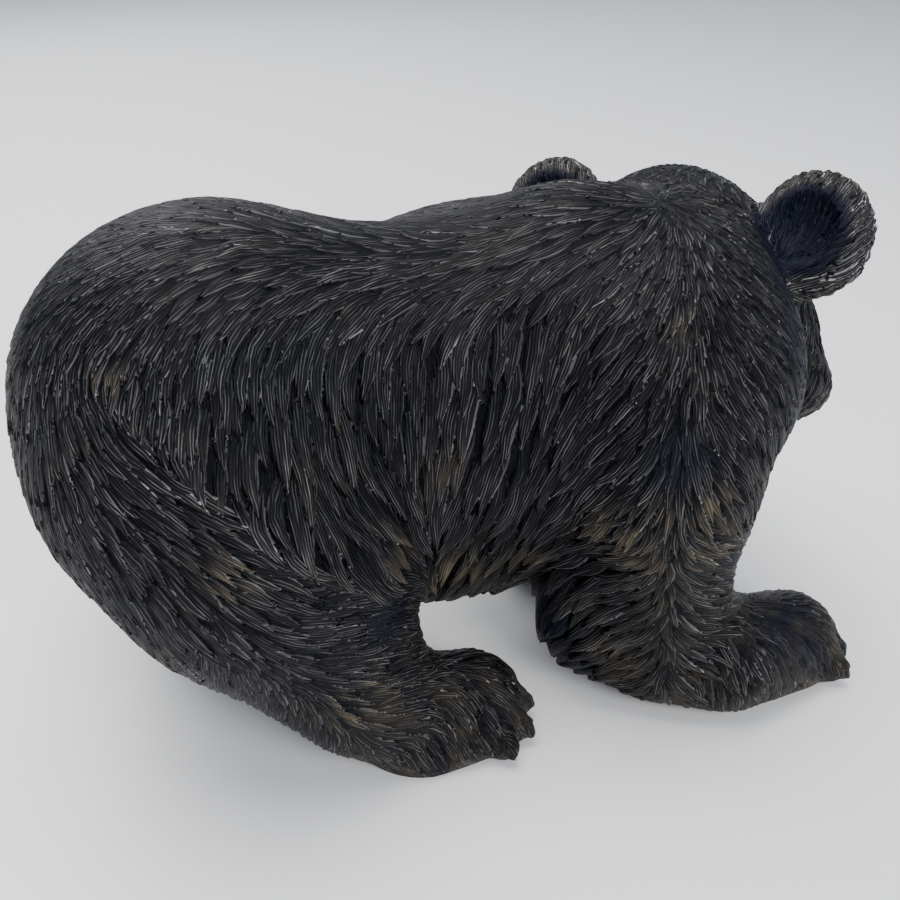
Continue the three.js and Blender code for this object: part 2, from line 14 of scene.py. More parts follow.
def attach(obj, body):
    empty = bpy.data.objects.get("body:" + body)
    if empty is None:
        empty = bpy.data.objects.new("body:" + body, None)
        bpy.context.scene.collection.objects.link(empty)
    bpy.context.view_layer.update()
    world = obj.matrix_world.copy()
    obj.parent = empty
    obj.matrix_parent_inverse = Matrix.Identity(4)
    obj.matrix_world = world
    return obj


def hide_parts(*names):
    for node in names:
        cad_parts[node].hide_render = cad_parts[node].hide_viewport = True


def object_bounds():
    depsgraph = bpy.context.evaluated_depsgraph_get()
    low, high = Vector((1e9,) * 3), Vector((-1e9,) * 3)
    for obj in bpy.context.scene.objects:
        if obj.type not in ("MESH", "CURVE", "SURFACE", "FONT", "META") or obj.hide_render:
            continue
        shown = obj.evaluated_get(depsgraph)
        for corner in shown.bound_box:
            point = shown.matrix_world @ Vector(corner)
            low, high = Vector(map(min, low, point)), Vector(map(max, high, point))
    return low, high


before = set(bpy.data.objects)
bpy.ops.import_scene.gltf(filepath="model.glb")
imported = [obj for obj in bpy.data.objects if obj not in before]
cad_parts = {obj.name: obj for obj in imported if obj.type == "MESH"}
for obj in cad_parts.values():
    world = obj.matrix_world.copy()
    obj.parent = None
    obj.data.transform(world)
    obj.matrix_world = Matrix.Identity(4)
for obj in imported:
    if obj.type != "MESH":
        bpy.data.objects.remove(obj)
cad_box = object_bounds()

BODY = "root"
NODE = "bear"

# Height over the crown and the hump, in millimetres. One per cent of it is the unit of
# every place and radius of the form.
HEIGHT = 209.0
UNIT = HEIGHT / 100
MM = 0.001

# Turn of the head: to the left, downwards and tilted over to the left, in degrees.
HEAD_TURN = 43
HEAD_NOD = 29
HEAD_TILT = 6
HEAD_CENTRE = np.array([50.2, 16.1, 68.6])

# Spacing of the lattice that the form is read on, in millimetres. Each face of the skin
# that it gives is cut into sixteen before the fur is carved.
CELL = 2.9
TRIANGLES = 196000
# Corners of the space that the form lies in. It reaches a little under the table, so that
# the soles are closed.
LOW_CORNER = (-82 * UNIT, -52 * UNIT, -2.5 * CELL)
HIGH_CORNER = (92 * UNIT, 66 * UNIT, 106 * UNIT)
# Below this height the wood is left flat, so that the soles stand on the table.
SOLE_EDGE = 1.9
CARVE_SEED = 11


def unit(v):
    return v / (np.linalg.norm(v, axis=-1, keepdims=True) + 1e-12)


def smooth(x, low, high):
    t = np.clip((x - low) / (high - low), 0, 1)
    return t * t * (3 - 2 * t)


def head_axes():
    turn, nod, tilt = (math.radians(a) for a in (HEAD_TURN, HEAD_NOD, HEAD_TILT))
    forward = np.array([math.cos(turn) * math.cos(nod), math.sin(turn) * math.cos(nod), -math.sin(nod)])
    level = np.array([-math.sin(turn), math.cos(turn), 0.0])
    left = level * math.cos(tilt) - np.cross(forward, level) * math.sin(tilt)
    return np.array([forward, left, np.cross(forward, left)])


HEAD = head_axes()


# The form, in per cent of the height. A blob is an ellipsoid, written as its middle and its
# three radii. A limb is a tapering rod, with a place and a radius for each end. A place on
# the head runs ahead, to the left and up from the head's middle.


class Blob:
    def __init__(self, centre, radii, axes=None):
        self.centre = np.asarray(centre, float) * UNIT
        self.radii = np.asarray(radii, float) * UNIT
        self.axes = np.eye(3) if axes is None else np.asarray(axes)

    def distance(self, p):
        q = (p - self.centre) @ self.axes.T
        near = np.sqrt(((q / self.radii) ** 2).sum(1))
        steep = np.sqrt(((q / self.radii**2) ** 2).sum(1)) + 1e-9
        return near * (near - 1) / steep


class Limb:
    def __init__(self, start, start_radius, end, end_radius):
        self.start = np.asarray(start, float) * UNIT
        self.end = np.asarray(end, float) * UNIT
        self.start_radius = start_radius * UNIT
        self.end_radius = end_radius * UNIT

    def share(self, p):
        along = self.end - self.start
        return np.clip((p - self.start) @ along / (along @ along), 0, 1)

    def distance(self, p):
        """Two balls and the cone that touches both of them without a crease."""
        axis = self.end - self.start
        length = math.sqrt(axis @ axis)
        off = p - self.start
        along = off @ axis / length
        away = np.sqrt(np.maximum((off**2).sum(1) - along**2, 0))
        sine = (self.start_radius - self.end_radius) / length
        cosine = math.sqrt(1 - sine * sine)
        foot = along * cosine - away * sine
        cone = away * cosine + along * sine - self.start_radius
        first = np.sqrt(away**2 + along**2) - self.start_radius
        last = np.sqrt(away**2 + (along - length) ** 2) - self.end_radius
        return np.where(foot < 0, first, np.where(foot > length * cosine, last, cone))


def head_place(place):
    return HEAD_CENTRE + np.asarray(place, float) @ HEAD


def head_blob(place, radii):
    return Blob(head_place(place), radii, HEAD)


def head_pair(ahead, aside, up, radii):
    return [head_blob([ahead, aside * side, up], radii) for side in (-1, 1)]


def head_limb(start, start_radius, end, end_radius):
    return Limb(head_place(start), start_radius, head_place(end), end_radius)


RUMP = Blob([-42.4, 0, 66], [35.4, 31.4, 34])
BARREL = Blob([-1.9, 0, 54.4], [42.7, 25, 39.3])
CHEST = Blob([26.1, 1, 58.4], [31, 28.8, 30.9])
HUMP = Blob([23, 0, 79.5], [17.2, 16.4, 17.6])
FAR_SHOULDER = Blob([5.4, 17.9, 70.7], [23.5, 15.2, 19.3])
NECK = Limb([40.3, -0.6, 70.4], 23.5, [51.3, 12.2, 69.9], 20.5)
REAR_FRINGE = Blob([24.7, -21.1, 22.2], [10.9, 11, 17])

SKULL = head_blob([0, 0, 0], [23.3, 21.6, 26.7])
CHEEKS = head_pair(8.4, 18, -13.1, [14.6, 17.4, 10.4])
BROWS = head_pair(18.6, 8.1, 6.7, [5.7, 5.3, 3.6])
MUZZLE = head_limb([11.5, 0, -6.7], 16.3, [37.3, 0, -10.5], 9.6)
JAW = head_limb([10.5, 0, -18.2], 11, [33.5, 0, -19.1], 5.7)
NOSE = head_blob([45, 0, -6.7], [3.3, 5.3, 3.8])
RUFFS = head_pair(8.5, 20.5, -5, [13.5, 10.4, 13])
SOCKETS = head_pair(26.3, 9.8, 1.9, [4.5, 4.5, 3.9])
EYES = head_pair(21.8, 9.3, 1.9, [2.6, 2.6, 2.5])
NOSTRILS = head_pair(48, 2.6, -6.9, [1.8, 1.25, 0.95])

# Ears: where they stand on the head and how large they are, in per cent of the height, the
# width of a hollow as a share of its ear's, and how deep the hollow goes.
EAR_PLACE = (-1.5, 27.9, 14.9)
EAR_RADII = (5.6, 11.4, 12.5)
EAR_HOLLOW = 0.7
EAR_HOLLOW_DEPTH = 3.2
# A hollow is cut by a flattened ball, whose middle stands off the ear by this share of the
# depth, and lies so far towards the crown and so far up from the ear's own middle.
HOLLOW_STAND = 0.5
HOLLOW_IN = 0.8
HOLLOW_UP = 0.4
# The fur of an ear runs away from its foot, a radius below its middle and this share of a
# radius towards the crown.
EAR_FOOT_IN = 0.35
# The gouge has left the rim of an ear in this many scallops, so deep in millimetres. They
# begin and are whole at these shares of the ear's radius, and stand out as much as in, about
# the mean height of their arcs.
SCALLOPS = 28
SCALLOP_DEPTH = 0.85
SCALLOP_BAND = (0.82, 1.0)
MEAN_ARC = 0.64

# How widely the forms run into each other. Each is written in per cent of the height.
SOFT = {name: width * UNIT for name, width in {
    "trunk": 14, "far shoulder": 11, "neck": 12, "cheek": 12, "jaw": 2.4, "nose": 1.2, "face": 8,
    "brow": 5, "ruff": 5, "socket": 2, "eye": 0.6, "nostril": 0.5, "head": 9.5, "ear": 3,
    "ear hollow": 0.6, "knee": 7, "paw": 8, "toe": 1.4, "claw": 0.7, "leg": 9.5, "fringe": 6.5,
}.items()}
# Further than this from its middle a form changes nothing, written in the same way. That of
# a leg is counted from the end of its limbs.
REACH = {name: far * UNIT for name, far in {"head": 62, "ear": 20, "leg": 14, "fringe": 30}.items()}


class Ear:
    """A round ear on the upper corner of the head, hollowed on both faces."""

    def __init__(self, side):
        place = [EAR_PLACE[0], EAR_PLACE[1] * side, EAR_PLACE[2]]
        self.body = head_blob(place, EAR_RADII)
        thick = EAR_HOLLOW_DEPTH * (1 + HOLLOW_STAND)
        radii = [thick, EAR_RADII[1] * EAR_HOLLOW, EAR_RADII[2] * EAR_HOLLOW]
        stand = EAR_RADII[0] + EAR_HOLLOW_DEPTH * HOLLOW_STAND
        across = place[1] - side * HOLLOW_IN
        up = place[2] + HOLLOW_UP
        self.hollows = [head_blob([place[0] + face * stand, across, up], radii) for face in (-1, 1)]
        to_foot = (HEAD[2] + EAR_FOOT_IN * side * HEAD[1]) * EAR_RADII[2] * UNIT
        self.foot = self.body.centre - to_foot

    def distance(self, p):
        d = self.body.distance(p)
        for hollow in self.hollows:
            d = carve(d, hollow.distance(p), SOFT["ear hollow"])
        across, up = ((p - self.body.centre) @ HEAD[1:].T / self.body.radii[1:]).T
        angle = np.arctan2(up, across)
        # the cuts are not all of one width
        angle = angle + 0.09 * np.sin(4 * angle + 1) + 0.05 * np.sin(11 * angle)
        arcs = np.abs(np.sin(angle * SCALLOPS / 2)) - MEAN_ARC
        return d - SCALLOP_DEPTH * arcs * smooth(np.hypot(across, up), *SCALLOP_BAND)


class Leg:
    """A chain of limbs from the shoulder or hip to the toes, with five clawed toes."""

    TOES = 5
    # Angle between the outermost toes, in radians.
    TOE_SPREAD = 2.1
    # In radii of the paw: a toe's own radii, how far the toes stand ahead of the paw's middle
    # and to its sides, how far a claw's root lies ahead of its toe's middle and above it, how
    # far the claw drops, and how far from the paw's middle all of this can matter.
    TOE_RADII = (0.4, 0.27, 0.42)
    TOE_AHEAD = 0.76
    TOE_ASIDE = 0.86
    CLAW_AHEAD = 0.3
    CLAW_RISE = 0.05
    CLAW_DROP = 0.2
    PAW_REACH = 2.6
    # In per cent of the height: a claw's length, and its radius at the root and at the tip.
    CLAW = 1.1
    CLAW_RADII = (1.5, 0.9)

    def __init__(self, name, joints):
        """Each joint is a place and a radius: top, middle, ankle, heel and front of the paw."""
        self.name = name
        self.side = math.copysign(1, joints[0][1])
        self.chain = [Limb(joints[a][:3], joints[a][3], joints[b][:3], joints[b][3])
                      for a, b in ((0, 1), (1, 2), (3, 4))]
        self.toes, self.claws = [], []
        heel, front = np.array(joints[3][:3]), np.array(joints[4][:3])
        size = joints[4][3]
        along = unit((front - heel) * [1, 1, 0])
        across = np.array([-along[1], along[0], 0])
        for i in range(self.TOES):
            angle = (i / (self.TOES - 1) - 0.5) * self.TOE_SPREAD
            out = along * math.cos(angle) + across * math.sin(angle)
            turn = -along * math.sin(angle) + across * math.cos(angle)
            at = front + along * math.cos(angle) * size * self.TOE_AHEAD
            at = at + across * math.sin(angle) * size * self.TOE_ASIDE
            at[2] = size * self.TOE_RADII[2]
            radii = [size * share for share in self.TOE_RADII]
            self.toes.append(Blob(at, radii, [out, turn, [0, 0, 1]]))
            root = at + out * size * self.CLAW_AHEAD + [0, 0, size * self.CLAW_RISE]
            tip = root + out * self.CLAW - [0, 0, size * self.CLAW_DROP]
            self.claws.append(Limb(root, self.CLAW_RADII[0], tip, self.CLAW_RADII[1]))

        ends = np.array([end for limb in self.chain for end in (limb.start, limb.end)])
        widths = np.array([r for limb in self.chain for r in (limb.start_radius, limb.end_radius)])
        self.middle = (ends.min(0) + ends.max(0)) / 2
        self.reach = (np.sqrt(((ends - self.middle) ** 2).sum(1)) + widths).max()

    def toe_distance(self, p, d):
        for toe in self.toes:
            d = join(d, toe.distance(p), SOFT["toe"])
        for claw in self.claws:
            d = join(d, claw.distance(p), SOFT["claw"])
        return d

    def distance(self, p):
        upper, lower, paw = self.chain
        d = join(upper.distance(p), lower.distance(p), SOFT["knee"])
        d = join(d, paw.distance(p), SOFT["paw"])
        near = ((p - paw.end) ** 2).sum(1) < (self.PAW_REACH * paw.end_radius) ** 2
        d[near] = self.toe_distance(p[near], d[near])
        return d


EARS = [Ear(side) for side in (-1, 1)]
LEGS = [
    Leg("near fore", [[38.3, -14.4, 67, 23.9], [34, -25.8, 49.8, 15.3], [37.3, -24.4, 12.9, 13.2],
                      [50.1, -30.5, 10.5, 11.4], [66.8, -25.5, 6.3, 10.6]]),
    Leg("far fore", [[38.3, 16.3, 61.2, 20.1], [31.6, 23.9, 35.9, 16.3], [28.7, 23.9, 13.4, 13.4],
                     [28.7, 23.9, 10.5, 12.4], [49.8, 23.9, 7.7, 9.1]]),
    Leg("near hind", [[-49, -14.9, 57.1, 24.7], [-39.7, -20.2, 46.7, 23.7], [-23.3, -27.5, 16.3, 13.6],
                      [-11.7, -27.8, 3.8, 11.6], [-2.6, -28, 6.2, 10.8]]),
    Leg("far hind", [[-46.9, 14.4, 57.4, 25.8], [-45.9, 22, 36.4, 21.1], [-45.9, 23.9, 14.4, 14.4],
                     [-45.9, 23.9, 11.5, 12.9], [-25.8, 23.9, 8.1, 9.6]]),
]


# Signed distances: negative inside the wood


def join(a, b, soft):
    """The smaller of two distances, the crease between them rounded over soft."""
    h = np.maximum(soft - np.abs(a - b), 0) / soft
    return np.minimum(a, b) - h * h * soft * 0.25


def carve(a, b, soft):
    return -join(-a, b, soft)


def torso_distance(p):
    d = RUMP.distance(p)
    for blob in (BARREL, CHEST, HUMP):
        d = join(d, blob.distance(p), SOFT["trunk"])
    return join(d, FAR_SHOULDER.distance(p), SOFT["far shoulder"])


def head_distance(p):
    d = SKULL.distance(p)
    for cheek in CHEEKS:
        d = join(d, cheek.distance(p), SOFT["cheek"])
    face = join(MUZZLE.distance(p), JAW.distance(p), SOFT["jaw"])
    face = join(face, NOSE.distance(p), SOFT["nose"])
    d = join(d, face, SOFT["face"])
    for cut, blobs, name in ((join, BROWS, "brow"), (join, RUFFS, "ruff"), (carve, SOCKETS, "socket"),
                             (join, EYES, "eye"), (carve, NOSTRILS, "nostril")):
        for blob in blobs:
            d = cut(d, blob.distance(p), SOFT[name])
    return d


def join_near(d, p, middle, reach, distance, soft):
    """Joins a form that matters only within reach of its middle."""
    near = ((p - middle) ** 2).sum(1) < reach**2
    d[near] = join(d[near], distance(p[near]), soft)
    return d


def bear_distance(p):
    d = join(torso_distance(p), NECK.distance(p), SOFT["neck"])
    d = join_near(d, p, SKULL.centre, REACH["head"], head_distance, SOFT["head"])
    for ear in EARS:
        d = join_near(d, p, ear.body.centre, REACH["ear"], ear.distance, SOFT["ear"])
    for leg in LEGS:
        d = join_near(d, p, leg.middle, leg.reach + REACH["leg"], leg.distance, SOFT["leg"])
    d = join_near(d, p, REAR_FRINGE.centre, REACH["fringe"], REAR_FRINGE.distance, SOFT["fringe"])
    return np.maximum(d, -p[:, 2])


TETRAHEDRON = np.array([[1, -1, -1], [-1, -1, 1], [-1, 1, -1], [1, 1, 1]], float)


def reading(p, step=0.35):
    """Distance at each point and its unit gradient, from four readings round the point."""
    g = np.zeros_like(p)
    d = np.zeros(len(p))
    for corner in TETRAHEDRON:
        at = bear_distance(p + corner * step)
        g += corner * at[:, None]
        d += at / 4
    return d, unit(g)


# Skin of the form


def lattice_skin(low, high, cell):
    """Points and four-sided faces of the zero level, one point for each crossed cell."""
    low = np.asarray(low, float)
    n = np.ceil((np.asarray(high) - low) / cell).astype(int) + 1
    axes = [low[i] + cell * np.arange(n[i]) for i in range(3)]
    nodes = np.stack(np.meshgrid(*axes, indexing="ij"), -1).reshape(-1, 3)
    field = bear_distance(nodes).reshape(n)
    inside = field < 0
    cells = n - 1

    def shifted(offset):
        return field[tuple(slice(o, o + c) for o, c in zip(offset, cells))]

    total = np.zeros((*cells, 3))
    count = np.zeros(cells)
    for axis in range(3):
        others = [i for i in range(3) if i != axis]
        for u in (0, 1):
            for v in (0, 1):
                start = [0, 0, 0]
                start[others[0]], start[others[1]] = u, v
                end = list(start)
                end[axis] = 1
                a, b = shifted(start), shifted(end)
                cross = (a < 0) != (b < 0)
                at = np.zeros((*cells, 3)) + start
                at[..., axis] = np.where(cross, a / np.where(cross, a - b, 1), 0)
                total += at * cross[..., None]
                count += cross
    crossed = count > 0
    number = np.full(cells, -1)
    number[crossed] = np.arange(crossed.sum())
    corner = np.argwhere(crossed)
    points = (corner + total[crossed] / count[crossed][:, None]) * cell + low
    faces = []
    for axis in range(3):
        others = [i for i in range(3) if i != axis]
        here = [slice(1, -1)] * 3
        here[axis] = slice(0, -1)
        ahead = list(here)
        ahead[axis] = slice(1, None)
        a, b = inside[tuple(here)], inside[tuple(ahead)]
        changed = a != b
        where = np.argwhere(changed) + [int(i != axis) for i in range(3)]
        ring = []
        for du, dv in ((-1, -1), (0, -1), (0, 0), (-1, 0)):
            q = where.copy()
            q[:, others[0]] += du
            q[:, others[1]] += dv
            ring.append(number[q[:, 0], q[:, 1], q[:, 2]])
        quads = np.stack(ring, 1)
        flip = a[changed]
        if axis == 1:
            flip = ~flip
        quads[~flip] = quads[~flip][:, ::-1]
        faces.append(quads)
    return points, np.concatenate(faces)


def finer(points, quads):
    """Cuts every four-sided face into four. A point may carry more values than its place."""
    pairs = np.sort(np.stack([quads, np.roll(quads, -1, 1)], -1).reshape(-1, 2), 1)
    edges, which = np.unique(pairs[:, 0] * len(points) + pairs[:, 1], return_inverse=True)
    middles = (points[edges // len(points)] + points[edges % len(points)]) / 2
    centres = points[quads].mean(1)
    edge = which.reshape(-1, 4) + len(points)
    centre = np.arange(len(quads)) + len(points) + len(middles)
    parts = [np.stack([quads[:, i], edge[:, i], centre, edge[:, i - 1]], 1) for i in range(4)]
    return np.concatenate([points, middles, centres]), np.concatenate(parts)


# No point moves further than this in one round, in millimetres.
LONGEST_MOVE = 2.0


def settle(points, rounds):
    """Moves points onto the zero level, and gives the level's normals there."""
    for _ in range(rounds):
        d, n = reading(points)
        points = points - n * np.clip(d, -LONGEST_MOVE, LONGEST_MOVE)[:, None]
        points[:, 2] = np.maximum(points[:, 2], 0)
    return points, n


# Flow of the fur

# The fur of the neck runs away from a whorl between the shoulders.
WHORL = np.array([29.5, -5, 95]) * UNIT
# The fur parts along the back a little to the right of the middle, and turns about an axis
# at this height.
SPINE = -7 * UNIT
BODY_AXIS = 70 * UNIT
# It slants down from straight back by the first angle at the spine, and by the second one
# more where it has turned by FLANK_TURN about the axis, in radians.
SLANT = (0.1, 1.3)
SLANT_CURVE = 1.4
FLANK_TURN = 1.1
# How much the fur of the head droops everywhere, and how much more behind this band, which
# lies so far ahead of the head's centre, in per cent of the height.
HEAD_DROOP = (0.35, 0.9)
DROOP_BAND = (2, 20)
# How strongly the fur leaves the ridge of a leg, from its top limb down, how soon it has
# turned away from the ridge, and how far it points to the toes on a paw.
FORE_SPREAD = (1.3, 1.9, 1.9)
HIND_SPREAD = (0.45, 1.3, 1.3)
RIDGE_TURN = 1.8
PAW_FORWARD = 0.45
# The fur of the flank hangs over the thigh down to a sloping line, where x + z has this
# value, and the turn is spread over a band below and above it. Over that line the fur of
# the thigh counts as this much further away.
HAUNCH = 23 * UNIT
HAUNCH_BAND = (-3 * UNIT, 5 * UNIT)
THIGH_COVER = 30 * UNIT
# How far back from its outer side a leg carries its ridge of parting fur, in radians.
FORE_RIDGE = 0.33
HIND_RIDGE = 0.21
# Behind the near fore leg a fringe hangs down and back.
FRINGE_FLOW = (-0.8, -0.1, -0.75)
# The fur of a leg and of the fringe reaches this far over what they join.
LEG_LEAD = UNIT
FRINGE_LEAD = 3 * UNIT
# The parts of the fur run into each other over about this width, and one that counts as
# far away as NEVER adds nothing.
FUR_BLEND = 3.4 * UNIT
NEVER = 1e3

# Size of a lock: length, width and thickness in millimetres, for each part of the fur.
LOCK_SIZES = {
    "flank": (33, 7.6, 2.6),
    "neck": (26, 4.6, 1.5),
    "head": (15, 3.6, 1.0),
    "ear": (20, 4.0, 2.3),
    "leg": (18, 3.8, 1.3),
    "paw": (17, 3.8, 1.1),
    "fringe": (24, 8.5, 6.5),
}
# The rump and the back are cut finer than the flanks, by these shares, and behind the
# whorl the back is cut flatter too. The bands are millimetres back from the origin, up
# from the soles and, for the trunk's, from the trunk to the nearest part.
RUMP_FINER = 0.42
RUMP_BAND = (60, 110)
TRUNK_BAND = (-8, 0)
BACK_FINER = 0.35
BACK_BAND = (145, 190)
BACK_FLATTER = 0.45
TOP_BAND = (172, 192)
BEHIND_WHORL = (-60, -40)


def trunk_flow(p):
    """Back from the whorl, and more and more downwards on the flanks."""
    around = np.arctan2(np.abs(p[:, 1] - SPINE), p[:, 2] - BODY_AXIS)
    hang = np.clip(around / FLANK_TURN, 0, 1)
    slant = SLANT[0] + SLANT[1] * hang**SLANT_CURVE
    side = np.where(p[:, 1] < SPINE, -1.0, 1.0)
    none = np.zeros(len(p))
    down = np.stack([none, side * np.cos(around), -np.sin(around)], 1)
    back = np.stack([-np.cos(slant), none, none], 1)
    return back + down * np.sin(slant)[:, None]


def head_flow(p):
    """Back from the nose, and drooping on the cheeks."""
    ahead = (p / UNIT - HEAD_CENTRE) @ HEAD[0]
    droop = HEAD_DROOP[0] + HEAD_DROOP[1] * (1 - smooth(ahead, *DROOP_BAND))
    return unit(p - NOSE.centre) - droop[:, None] * HEAD[2]


def limb_flow(p, limb, ridge, spread):
    """Down the limb, and away on both sides from the ridge on its outer side."""
    along = unit(limb.end - limb.start)
    axis = limb.start + limb.share(p)[:, None] * (limb.end - limb.start)
    out = unit(p - axis)
    across = unit(ridge - along * (ridge @ along))
    turn = np.cross(across, out) @ along
    return along + np.cross(along, out) * (spread * np.clip(turn * RIDGE_TURN, -1, 1))[:, None]


def leg_fur(p, leg):
    """The fur of a leg and of its paw: how far away it is, its direction and its name."""
    hind = leg.name.endswith("hind")
    turn = HIND_RIDGE if hind else FORE_RIDGE
    spreads = HIND_SPREAD if hind else FORE_SPREAD
    ridge = np.array([-math.sin(turn), leg.side * math.cos(turn), 0])
    limb_there = np.stack([limb.distance(p) for limb in leg.chain], 1).argmin(1)
    flow = np.zeros_like(p)
    for i, limb in enumerate(leg.chain):
        mine = limb_there == i
        flow[mine] = limb_flow(p[mine], limb, ridge, spreads[i])
    away = leg.distance(p) - LEG_LEAD
    if hind:
        away = away + THIGH_COVER * smooth(p[:, 0] + p[:, 2] - HAUNCH, *HAUNCH_BAND)
    across_paw = PAW_FORWARD * unit(leg.chain[2].end - leg.chain[2].start) - [0, 0, 1]
    return [(np.where(limb_there < 2, away, NEVER), flow, "leg"),
            (np.where(limb_there == 2, away, NEVER), np.zeros_like(p) + across_paw, "paw")]


def fur(p):
    """Direction of the fur at each point, and the size of the locks there."""
    from_trunk = torso_distance(p)
    groups = [
        (from_trunk, trunk_flow(p), "flank"),
        (NECK.distance(p), unit(p - WHORL), "neck"),
        (head_distance(p), head_flow(p), "head"),
    ]
    groups += [(ear.distance(p), unit(p - ear.foot), "ear") for ear in EARS]
    for leg in LEGS:
        groups += leg_fur(p, leg)
    hanging = np.zeros_like(p) + FRINGE_FLOW
    groups.append((REAR_FRINGE.distance(p) - FRINGE_LEAD, hanging, "fringe"))
    closest = np.min([group[0] for group in groups], 0)
    flow = np.zeros_like(p)
    size = np.zeros_like(p)
    total = np.zeros(len(p))
    for away, direction, name in groups:
        weight = np.exp(-(away - closest) / FUR_BLEND)
        flow += unit(direction) * weight[:, None]
        size += np.asarray(LOCK_SIZES[name]) * weight[:, None]
        total += weight
    size /= total[:, None]
    fine = 1 - RUMP_FINER * smooth(-p[:, 0], *RUMP_BAND) * smooth(closest - from_trunk, *TRUNK_BAND)
    fine *= 1 - BACK_FINER * smooth(p[:, 2], *BACK_BAND)
    size *= fine[:, None]
    on_back = smooth(p[:, 2], *TOP_BAND) * smooth(-p[:, 0], *BEHIND_WHORL)
    size[:, 2] *= 1 - BACK_FLATTER * on_back
    return flow, size


# The nose and the eyes are left bare, and the locks begin within this band round them.
BARE_BAND = (1.0 * UNIT, 4 * UNIT)


def bare(p):
    """How freely locks may be cut: none on the nose and the eyes, none at the soles."""
    d = NOSE.distance(p)
    for eye in EYES:
        d = np.minimum(d, eye.distance(p))
    return smooth(d, *BARE_BAND) * smooth(p[:, 2], SOLE_EDGE, 4 * SOLE_EDGE)


class Buckets:
    """Points sorted into cubes, to find those near a place."""

    def __init__(self, points, size):
        self.size = size
        self.low = points.min(0) - size
        cell = ((points - self.low) / size).astype(int)
        self.n = cell.max(0) + 2
        key = self.key(cell)
        self.order = np.argsort(key, kind="stable")
        self.sorted = key[self.order]

    def key(self, cell):
        return (cell[..., 0] * self.n[1] + cell[..., 1]) * self.n[2] + cell[..., 2]

    def near(self, place, reach):
        low = np.maximum(((place - reach - self.low) / self.size).astype(int), 0)
        high = np.minimum(((place + reach - self.low) / self.size).astype(int), self.n - 1)
        found = []
        for i in range(low[0], high[0] + 1):
            for j in range(low[1], high[1] + 1):
                first = self.key(np.array([i, j, low[2]]))
                last = self.key(np.array([i, j, high[2]]))
                a, b = np.searchsorted(self.sorted, [first, last + 1])
                if b > a:
                    found.append(self.order[a:b])
        return np.concatenate(found) if found else np.zeros(0, int)


# Where the stain has rubbed through to tan wood, and where painted shade lies darkest, at places
# where shade falls: place and reach in per cent of the height, and strength. The far side is
# finished like the near.
RUBBED = [
    ((-58, -25, 82), 4, 1.0), ((-25, -41, 23), 10, 0.9), ((-16, -31, 45), 8, 0.6), ((-2, -20, 31), 12, 0.8),
    ((8, -22, 34), 10, 0.6), ((-9, -25, 58), 10, 0.6), ((-22, -17, 88), 6, 0.5), ((-43, -44, 56), 6, 0.6),
    ((21, -36, 45), 12, 0.9), ((33, -42, 50), 13, 1.0), ((37, -39, 31), 13, 0.8), ((25, -34, 18), 9, 0.9),
    ((48, -42, 9), 5, 0.7), ((50, 2, 93), 5, 0.7), ((32, -30, 84), 5, 0.5), ((38, -30, 78), 4, 0.5),
]
SHADE_SPOTS = [
    ((15, -24, 20), 9, 1.0), ((19, -29, 13), 8, 1.0), ((-19, -36, 38), 8, 0.8), ((30, -40, 63), 8, 0.7),
    ((63, -34, 16), 13, 0.8), ((56, -24, 74), 13, 0.8), ((58, -18, 84), 10, 0.8), ((53, -28, 62), 9, 0.6),
]


# A spot is whole within this share of its reach.
SPOT_CORE = 0.3
# Painted shade lies darkest near the skin of an ear's hollow or of a ruff, and ends between
# these distances from it, in millimetres.
HOLLOW_SHADE = (2.0, 4.5)
RUFF_SHADE = (2.0, 5.0)
RUFF_SHADE_SHARE = 0.5


def wear_and_shade(p):
    """From -1, where the painted shade is darkest, to 1, where the stain has rubbed through."""
    near_side = np.stack([p[:, 0], -np.abs(p[:, 1]), p[:, 2]], 1) / UNIT

    def strongest(places):
        share = np.zeros(len(p))
        for place, reach, strength in places:
            away = np.sqrt(((near_side - place) ** 2).sum(1)) / reach
            share = np.maximum(share, strength * (1 - smooth(away, SPOT_CORE, 1.0)))
        return share

    painted_shade = strongest(SHADE_SPOTS)
    for ear in EARS:
        for hollow in ear.hollows:
            painted_shade = np.maximum(painted_shade, 1 - smooth(np.abs(hollow.distance(p)), *HOLLOW_SHADE))
    for ruff in RUFFS:
        painted_shade = np.maximum(painted_shade, RUFF_SHADE_SHARE * (1 - smooth(np.abs(ruff.distance(p)), *RUFF_SHADE)))
    return strongest(RUBBED) - painted_shade


# The rim of an ear, painted lighter as if lit from above: this near to its body, this far from
# its hollows, and above this height.
RIM_NEAR_EAR = (2.5, 5)
RIM_OFF_HOLLOW = (2, 4)
RIM_HEIGHT = (70 * UNIT, 78 * UNIT)


def lit_ear_rims(p):
    """One on the rims of the ears, painted lighter as if lit, and nothing elsewhere."""
    share = np.zeros(len(p))
    for ear in EARS:
        away = np.min([np.abs(hollow.distance(p)) for hollow in ear.hollows], 0)
        on_ear = 1 - smooth(np.abs(ear.body.distance(p)), *RIM_NEAR_EAR)
        rim = on_ear * smooth(away, *RIM_OFF_HOLLOW) * smooth(p[:, 2], *RIM_HEIGHT)
        share = np.maximum(share, rim)
    return share


# Locks overlap their neighbours by these shares of their width and length.
OVERLAP_ACROSS = 0.36
OVERLAP_ALONG = 0.52
# Locks already placed are looked up in cubes of this size. No lock is longer than about
# twice as much.
SEED_CUBE = LOCK_SIZES["flank"][0] * 0.6
# No lock has its seed below this height.
LOWEST_SEED = 1.2 * SOLE_EDGE


